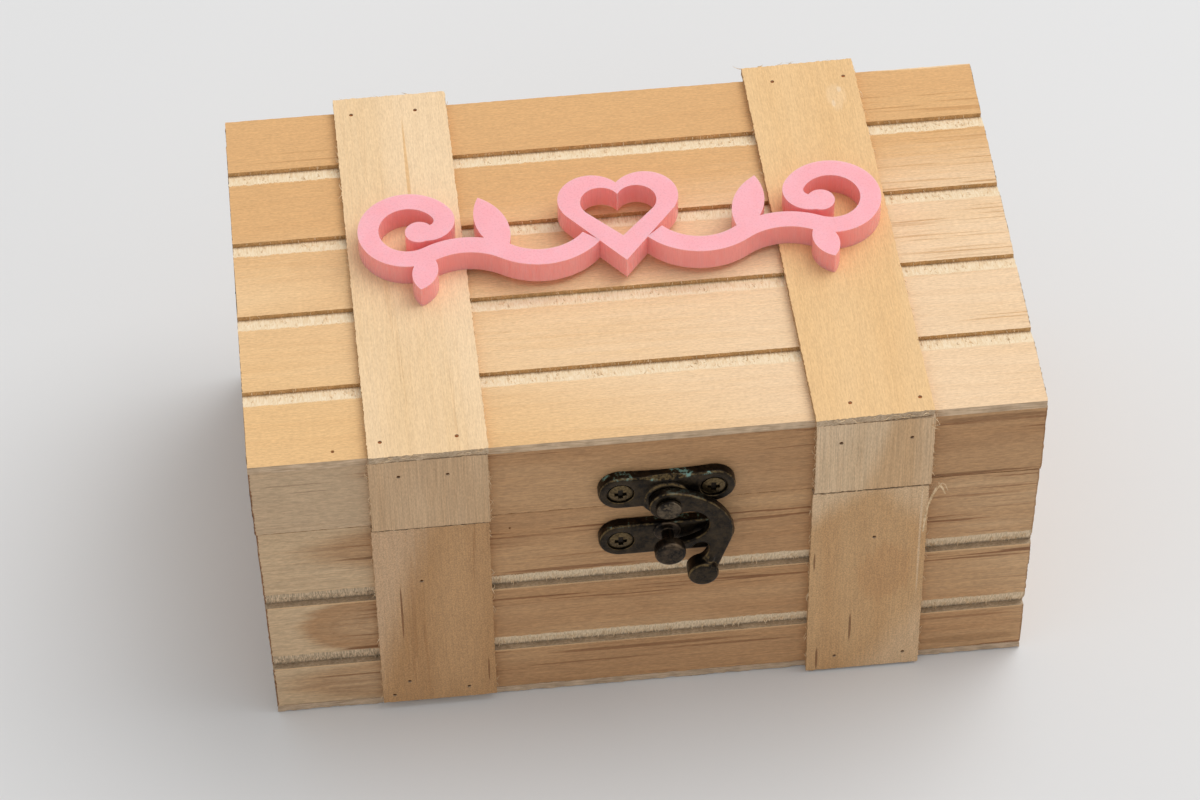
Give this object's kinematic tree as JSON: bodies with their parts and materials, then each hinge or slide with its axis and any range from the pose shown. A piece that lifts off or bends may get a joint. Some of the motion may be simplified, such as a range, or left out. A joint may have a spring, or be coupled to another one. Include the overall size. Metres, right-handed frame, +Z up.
{
  "type": "wooden keepsake box",
  "caption": "Small pine keepsake chest with a plank-grooved hinged lid, flat wooden straps, an aged bronze swing-hook latch, pinned back hinges and a flat acrylic flourish on the lid.",
  "frame": {"origin": "middle of the underside of the base, on the surface that the box stands on", "axes": "+X along the front towards the viewer's right, +Y from the front to the back, +Z up"},
  "size_m": [0.16, 0.1124, 0.0852],
  "materials": {
    "side_pine": "bare sawn pine",
    "lid_pine": "bare sanded pine",
    "strap_pine": "bare sawn pine",
    "base_ply": "bare thin plywood",
    "dark_steel": "rusty brown",
    "old_bronze": "blackened bronze with worn edges and green patina",
    "worn_brass": "dark worn brass",
    "pink_acrylic": "satin pink acrylic sheet"
  },
  "bodies": {
    "box": {"front_wall": "side_pine", "back_wall": "side_pine", "left_wall": "side_pine", "right_wall": "side_pine", "base_panel": "base_ply", "box_front_strap_left": "strap_pine", "box_front_strap_right": "strap_pine", "box_back_strap_left": "strap_pine", "box_back_strap_right": "strap_pine", "box_strap_brads": "dark_steel", "wall_nails": "dark_steel", "base_nails": "dark_steel", "catch_plate": "old_bronze", "catch_post": "old_bronze", "catch_screws": "worn_brass", "left_hinge_box_leaf": "old_bronze", "right_hinge_box_leaf": "old_bronze", "left_hinge_pin": "dark_steel", "right_hinge_pin": "dark_steel", "hinge_box_screws": "worn_brass"},
    "lid": {"lid_panel": "lid_pine", "lid_front_rail": "side_pine", "lid_back_rail": "side_pine", "lid_left_rail": "side_pine", "lid_right_rail": "side_pine", "lid_top_strap_left": "strap_pine", "lid_top_strap_right": "strap_pine", "lid_front_strap_left": "strap_pine", "lid_front_strap_right": "strap_pine", "lid_back_strap_left": "strap_pine", "lid_back_strap_right": "strap_pine", "lid_strap_brads": "dark_steel", "lid_nails": "dark_steel", "hook_plate": "old_bronze", "hook_plate_screws": "worn_brass", "hook_rivet": "old_bronze", "left_hinge_lid_leaf": "old_bronze", "right_hinge_lid_leaf": "old_bronze", "hinge_lid_screws": "worn_brass", "lid_ornament": "pink_acrylic"},
    "hook": {"latch_hook": "old_bronze"}
  },
  "joints": [
    {"name": "lid_hinge", "type": "hinge", "parent": "box", "child": "lid", "pos_m": [0, 0.0525, 0.05772], "axis": [-1, 0, 0], "range_deg": [0, 180]},
    {"name": "latch_swing", "type": "hinge", "parent": "lid", "child": "hook", "pos_m": [0.0032, -0.0532, 0.0616], "axis": [0, -1, 0], "range_deg": [-20, 110]}
  ]
}
